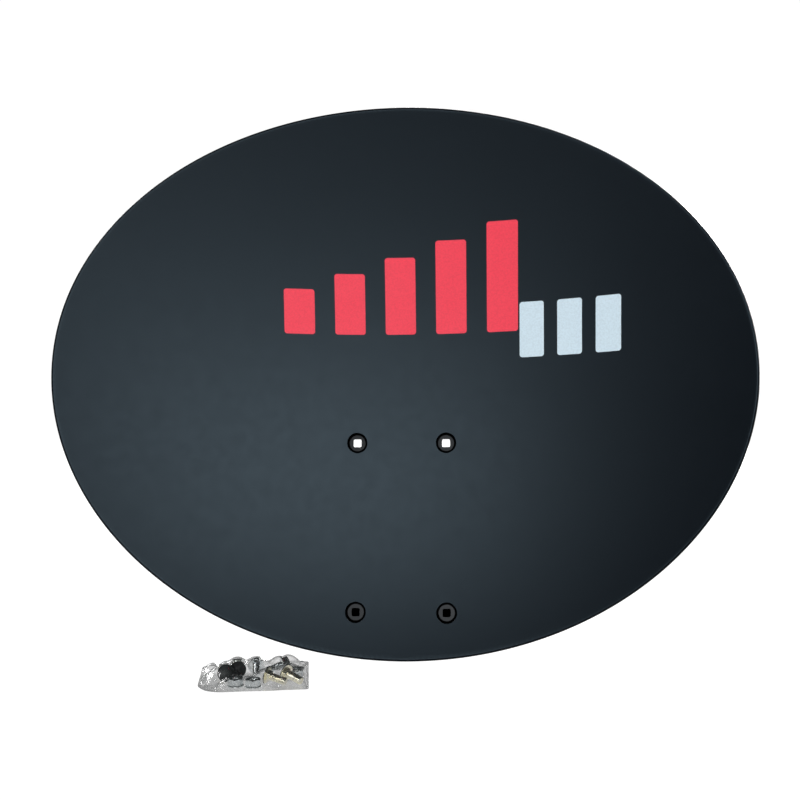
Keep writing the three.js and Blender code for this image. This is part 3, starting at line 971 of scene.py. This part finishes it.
def bag_outline(step):
    points = []
    for sx, sy, radius in BAG_CORNERS:
        cx, cy = sx * (BAG_WIDTH / 2 - radius), sy * (BAG_DEPTH / 2 - radius) + BAG_SHIFT
        first = math.atan2(sy, sx) - math.pi / 4
        count = max(3, int(radius * math.pi / 2 / step))
        for k in range(count + 1):
            a = first + math.pi / 2 * k / count
            points.append(Vector((cx + radius * math.cos(a), cy + radius * math.sin(a))))
    filled = []
    for a, b in zip(points, points[1:] + points[:1]):
        count = max(1, int(round((b - a).length / step)))
        filled += [a.lerp(b, k / count) for k in range(count)]
    return filled


def inset_at(point):
    x, y = point.x, point.y - BAG_SHIFT
    inset = min(BAG_WIDTH / 2 - abs(x), BAG_DEPTH / 2 - abs(y))
    for sx, sy, radius in BAG_CORNERS:
        dx = sx * x - (BAG_WIDTH / 2 - radius)
        dy = sy * y - (BAG_DEPTH / 2 - radius)
        if dx > 0 and dy > 0:
            inset = min(inset, radius - math.hypot(dx, dy))
    return inset


def seam_height(point):
    """The sealed edge lies on the surface in front, and is drawn up by the bolts behind it."""
    back = smoothstep(-22.0, 24.0, point.y)
    lift = back * (LEFT_LIFT + (RIGHT_LIFT - LEFT_LIFT) * smoothstep(-10.0, 38.0, point.x))
    wave = noise.noise(Vector((point.x / 13.0, point.y / 13.0, 3.7)))
    side = 0.9 * smoothstep(-24.0, -40.0, point.x)
    return 0.12 + lift + 0.5 * (1.0 + wave) * (0.35 + side)


def film_plan():
    rim = bag_outline(FILM_STEP)
    inner = []
    rows = int(BAG_DEPTH / (FILM_STEP * ROW_SHARE)) + 1
    columns = int(BAG_WIDTH / FILM_STEP) + 1
    for j in range(rows):
        for i in range(columns):
            x = -BAG_WIDTH / 2 + (i + 0.5 * (j % 2)) * FILM_STEP
            y = -BAG_DEPTH / 2 + BAG_SHIFT + j * FILM_STEP * ROW_SHARE
            point = Vector((x, y))
            if inset_at(point) > 0.6 * FILM_STEP:
                inner.append(point)
    edges = [(i, (i + 1) % len(rim)) for i in range(len(rim))]
    found = delaunay_2d_cdt(rim + inner, edges, [], 1, 1e-5)
    return [Vector(p) for p in found[0]], [tuple(f) for f in found[2]]


def film_object(name, plan, faces, heights):
    vertices = [Vector((p.x, p.y, z)) * SIM_SCALE for p, z in zip(plan, heights)]
    return new_object(name, vertices, faces)


def fastener_blocks():
    """Copies of the fasteners' simple solids, at the simulation's scale, for the film to fall on."""
    into = Matrix.Scale(SIM_SCALE, 4) @ kit_frame().inverted()
    blocks = []
    for name, node in frame["nodes"].items():
        if name.startswith(("carriage_bolt", "flange_screw", "nut_")):
            block = put_in_scene("block_" + name, node.data.copy())
            block.data.transform(into @ node.matrix_world)
            block.modifiers.new("collision", "COLLISION")
            block.collision.thickness_outer = 0.002
            block.collision.cloth_friction = 4.0
            blocks.append(block)
    return blocks


def points_along_edges(block):
    points = []
    for edge in block.data.edges:
        a, b = (block.data.vertices[i].co / SIM_SCALE for i in edge.vertices)
        count = max(1, int((b - a).length / FILM_STEP))
        points += [a.lerp(b, k / count) for k in range(count + 1)]
    return np.array(points)


def fall(away):
    """How far a film has dropped at some distance from what holds it up."""
    return SAG * away + SAG_GROWTH * away * away


def clear_heights(plan, blocks):
    """For each point of the films, how high clears the fasteners, and how low passes under them."""
    places = np.array([tuple(p) for p in plan])
    over = np.zeros(len(plan))
    under = np.full(len(plan), 50.0)
    for solid in [points_along_edges(block) for block in blocks]:
        away = np.hypot(*(places[:, None, k] - solid[None, :, k] for k in (0, 1)))
        away = np.maximum(away - 0.6 * FILM_STEP, 0.0)
        over = np.maximum(over, (solid[:, 2] + OVER_CLEAR - fall(away)).max(axis=1))
        under = np.minimum(under, (solid[:, 2] - UNDER_CLEAR + fall(away)).min(axis=1))
    return over, under


def drape_film(film, plan):
    """The top film falls over the bolts, pinned by its seal. It is cut a little large, so it creases."""
    pinned = [i for i, p in enumerate(plan) if inset_at(p) < SEAL_WIDTH]
    group = film.vertex_groups.new(name="seal")
    group.add(pinned, 1.0, "REPLACE")
    modifier = film.modifiers.new("drape", "CLOTH")
    cloth = modifier.settings
    cloth.quality = 7
    cloth.mass = 0.12
    cloth.tension_stiffness = 60.0
    cloth.compression_stiffness = 60.0
    cloth.shear_stiffness = 30.0
    cloth.bending_stiffness = 0.35
    cloth.air_damping = 2.0
    cloth.vertex_group_mass = "seal"
    cloth.shrink_min = -0.025
    modifier.collision_settings.distance_min = 0.0025
    modifier.collision_settings.collision_quality = 4
    modifier.collision_settings.use_self_collision = False
    scene = bpy.context.scene
    modifier.point_cache.frame_start = 1
    modifier.point_cache.frame_end = DRAPE_FRAMES
    for step in range(1, DRAPE_FRAMES + 1):
        scene.frame_set(step)
    apply_modifiers(film)
    scene.frame_set(1)


def build_bag(film_look):
    """The lower film lies under the fasteners and the upper one is draped over them."""
    plan, faces = film_plan()
    blocks = fastener_blocks()
    over, under = clear_heights(plan, blocks)
    top_heights, bottom_heights = [], []
    for p, high, low in zip(plan, over, under):
        seam = min(seam_height(p), max(low, 0.0))
        inset = inset_at(p)
        bottom_heights.append(min(seam * (1.0 - smoothstep(0.0, 12.0, inset)) + 0.1, max(low, 0.1)))
        props = [z - fall(math.hypot(p.x - x, p.y - y)) for x, y, z in PROPPED]
        raised = max(high, seam + 0.3 * max(inset - SEAL_WIDTH, 0.0), *props)
        share = smoothstep(0.3 * SEAL_WIDTH, 1.6 * SEAL_WIDTH, inset)
        top_heights.append(seam + 0.25 + max(raised - seam, 0.0) * share)
    top = film_object("top_film", plan, faces, top_heights)
    drape_film(top, plan)
    for block in blocks:
        bpy.data.objects.remove(block)
    bottom = film_object("bottom_film", plan, faces, bottom_heights)
    back = kit_frame() @ Matrix.Scale(1.0 / SIM_SCALE, 4)
    for film, replaced in ((top, "bag_top_film"), (bottom, "bag_bottom_film")):
        film.data.transform(back)
        fine = film.modifiers.new("fine", "SUBSURF")
        fine.levels = fine.render_levels = 1
        thick = film.modifiers.new("thick", "SOLIDIFY")
        thick.thickness = FILM_THICK * MM
        thick.offset = 1.0
        apply_modifiers(film)
        smooth(film, 60.0)
        finish_piece(film, f"{replaced}_fine", "hardware_kit", film_look, [replaced])


# ---- floor, backdrop and light ----
def emission_material(name, strength):
    material = bpy.data.materials.new(name)
    material.use_nodes = True
    tree = material.node_tree
    tree.nodes.remove(tree.nodes["Principled BSDF"])
    emission = tree.nodes.new("ShaderNodeEmission")
    set_inputs(emission, Strength=strength)
    tree.links.new(emission.outputs["Emission"], tree.nodes["Material Output"].inputs["Surface"])
    return material


def unseen_by_light(obj):
    """The piece is there for the eye only: it neither lights nor shades."""
    obj.visible_diffuse = False
    obj.visible_glossy = False
    obj.visible_shadow = False
    obj.visible_transmission = False


def light_only_hardware(obj):
    """Let a light or a glowing surface fall on the bagged hardware alone."""
    name = "lit_hardware"
    lit = bpy.data.collections.get(name)
    if lit is None:
        lit = bpy.data.collections.new(name)
        for piece in bpy.data.objects:
            if piece.name.startswith(("carriage_bolt", "flange_screw", "nut_", "bag_")):
                lit.objects.link(piece)
    obj.light_linking.receiver_collection = lit


FLOOR_SIDES = 96
FLOOR_RADIUS_M = 6.0
FLOOR_GAP_M = 0.0002
BACKDROP_RADIUS_M = 7.0
# the two painted shades on the floor, in metres: the line half way between them, and each one's place and
# half size
PAINTED_SHADE_MIDDLE = -0.0116
PAINTED_SHADE_CENTRE = (0.0462, 0.161)
PAINTED_SHADE_HALF = (0.022, 0.066)
FULL_WHITE = 1.02


def floor_material():
    """A glowing white floor. Two small soft painted shades lie where the lower holes look down on it."""
    nodes = Nodes("pale_floor")
    set_inputs(nodes.shader, Roughness=0.9)
    from_middle = nodes.add("ShaderNodeVectorMath", operation="SUBTRACT")
    from_middle.inputs[1].default_value = (PAINTED_SHADE_MIDDLE, 0.0, 0.0)
    nodes.link(nodes.place, from_middle.inputs[0])
    mirrored = nodes.add("ShaderNodeVectorMath", operation="ABSOLUTE")
    nodes.link(from_middle.outputs["Vector"], mirrored.inputs[0])
    mapping = nodes.add("ShaderNodeMapping", vector_type="TEXTURE")
    set_inputs(mapping, Location=(*PAINTED_SHADE_CENTRE, 0.0), Scale=(*PAINTED_SHADE_HALF, 1.0))
    gradient = nodes.add("ShaderNodeTexGradient", gradient_type="QUADRATIC_SPHERE")
    behind = nodes.add("ShaderNodeSeparateXYZ")
    nodes.link(nodes.place, behind.inputs["Vector"])
    nodes.link(mirrored.outputs["Vector"], mapping.inputs["Vector"])
    nodes.link(mapping.outputs["Vector"], gradient.inputs["Vector"])
    # painted shade: the floor's colour and glow fall to black in the two spots behind the dish
    shade = nodes.add("ShaderNodeMath", operation="MULTIPLY")
    nodes.link(gradient.outputs["Fac"], shade.inputs[0])
    nodes.link(nodes.ramp(behind.outputs["Y"], 0.0, 1.0, 0.0, 0.01), shade.inputs[1])
    lit = nodes.ramp(shade.outputs["Value"], 1.0, 0.0, 0.0, 0.3)
    nodes.drive("Base Color", nodes.mix(lit, (0.0, 0.0, 0.0), (0.1, 0.1, 0.1)))
    set_inputs(nodes.shader, Emission_Color=(1.0, 1.0, 1.0, 1.0), Specular_IOR_Level=0.0)
    nodes.drive("Emission Strength", nodes.ramp(lit, 0.0, FULL_WHITE))
    return nodes.material


def add_stage():
    """The floor that the object stands on, and a white dome all round."""
    lo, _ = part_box("bag_bottom_film")
    radius, height = FLOOR_RADIUS_M, lo.z - FLOOR_GAP_M
    ring = [(radius * math.cos(a), radius * math.sin(a), height) for a in around(FLOOR_SIDES)]
    floor = new_object("floor", ring, [tuple(range(FLOOR_SIDES))])
    floor.data.materials.append(floor_material())
    bm = bmesh.new()
    bmesh.ops.create_icosphere(bm, subdivisions=4, radius=BACKDROP_RADIUS_M)
    mesh = bpy.data.meshes.new("backdrop")
    bm.to_mesh(mesh)
    bm.free()
    backdrop = put_in_scene("backdrop", mesh)
    backdrop.data.materials.append(emission_material("white_backdrop", FULL_WHITE))
    unseen_by_light(backdrop)
    floor.visible_shadow = False
    light_only_hardware(floor)


def add_light(name, location, target, size, power):
    data = bpy.data.lights.new(name, "AREA")
    data.shape = "RECTANGLE"
    data.size, data.size_y = size
    data.energy = power
    lamp = put_in_scene(name, data)
    lamp.location = location
    lamp.rotation_euler = (Vector(target) - Vector(location)).to_track_quat("-Z", "Y").to_euler()
    return lamp


def add_world():
    """Dim surroundings, brighter overhead and behind the dish."""
    world = bpy.data.worlds.new("studio")
    bpy.context.scene.world = world
    world.use_nodes = True
    tree = world.node_tree
    place = tree.nodes.new("ShaderNodeTexCoord")
    lean = tree.nodes.new("ShaderNodeVectorMath")
    lean.operation = "DOT_PRODUCT"
    lean.inputs[1].default_value = Vector((0.0, 0.75, 0.65)).normalized()
    ramp = tree.nodes.new("ShaderNodeMapRange")
    ramp.interpolation_type = "SMOOTHSTEP"
    set_inputs(ramp, From_Min=0.0, From_Max=0.8, To_Min=0.03, To_Max=0.85)
    tree.links.new(place.outputs["Generated"], lean.inputs[0])
    tree.links.new(lean.outputs["Value"], ramp.inputs["Value"])
    tree.links.new(ramp.outputs["Result"], tree.nodes["Background"].inputs["Strength"])


def add_lights():
    """A large softbox in front, which the bowl gathers into a broad sheen, and a strip at its side.

    A small softbox falls on the hardware alone. Three more light the back. The surroundings are dim.
    """
    add_world()
    bowl = (0.0, 0.0, 0.10)
    add_light("front_softbox", (0.17, -3.5, 0.37), bowl, (1.85, 1.05), 122.0)
    add_light("side_strip", (2.2, -0.15, -0.25), (0.28, 0.0, 0.08), (0.5, 0.9), 5.0)
    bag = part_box("bag_bottom_film")[0]
    over_bag = add_light("hardware_softbox", (bag.x - 0.30, bag.y - 0.30, 0.32), bag, (0.30, 0.12), 2.0)
    light_only_hardware(over_bag)
    add_light("back_softbox_middle", (0.9, 3.2, 0.9), bowl, (2.4, 1.6), 330.0)
    for side, x in (("left", -2.3), ("right", 2.3)):
        add_light(f"back_softbox_{side}", (x, 2.2, 1.9), bowl, (1.2, 1.2), 60.0)


# ---- main ----
def main():
    bpy.context.scene.view_settings.view_transform = "Standard"
    make_camera()
    reflector = build_reflector()
    paint = paint_materials()
    finish_piece(reflector, "reflector_sheet", "reflector", paint, ["reflector"])
    build_print(ink_material("ink_red", RED_INK), ink_material("ink_pale", PALE_INK))
    build_fasteners(
        metal_material("yellow_zinc", (0.86, 0.82, 0.64), (0.70, 0.68, 0.60), 0.28),
        metal_material("bright_zinc", (0.78, 0.80, 0.80), (0.60, 0.63, 0.65), 0.24),
        black_head_material(),
        metal_material("nut_zinc", (0.74, 0.77, 0.77), (0.58, 0.62, 0.64), 0.26),
        metal_material("washer_zinc", (0.70, 0.72, 0.71), (0.52, 0.55, 0.56), 0.3),
    )
    build_bag(film_material())
    add_stage()
    add_lights()


main()
